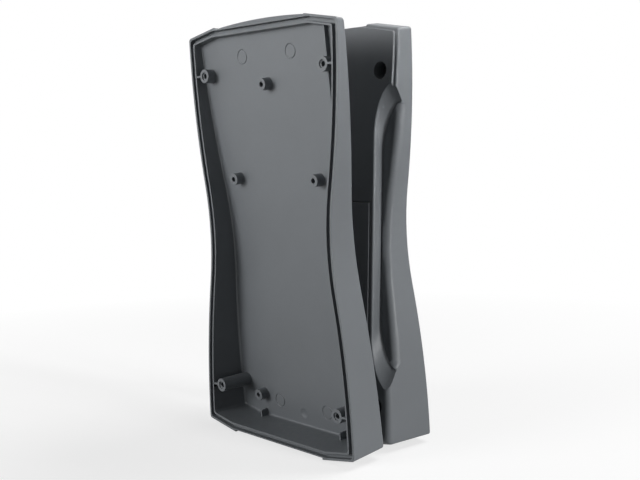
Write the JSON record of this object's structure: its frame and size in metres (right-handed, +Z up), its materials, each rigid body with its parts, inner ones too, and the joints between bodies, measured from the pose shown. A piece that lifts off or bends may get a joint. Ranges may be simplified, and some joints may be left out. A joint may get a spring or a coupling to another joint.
{
  "type": "handheld enclosure",
  "caption": "Waisted handheld case standing open: a shallow front shell with screw bosses and board posts, and a deeper back shell with finger grooves and a sliding battery door.",
  "frame": {"origin": "on the floor, under the centre of the box around both shells", "axes": "+Z up along the case, +X to the right as the front shell's open side is faced, +Y from the front shell towards the back shell"},
  "size_m": [0.1136, 0.0688, 0.211],
  "materials": {
    "shell": "fine matt texture",
    "door": "fine matt texture",
    "screw": "black oxide"
  },
  "bodies": {
    "case": {"front_shell": "shell", "back_shell": "shell", "case_screws": "screw"},
    "door": {"battery_door": "door"}
  },
  "joints": [
    {"name": "door_slide", "type": "slide", "parent": "case", "child": "door", "axis": [0, -0.0353, -0.9994], "range_m": [0, 0.01]}
  ]
}
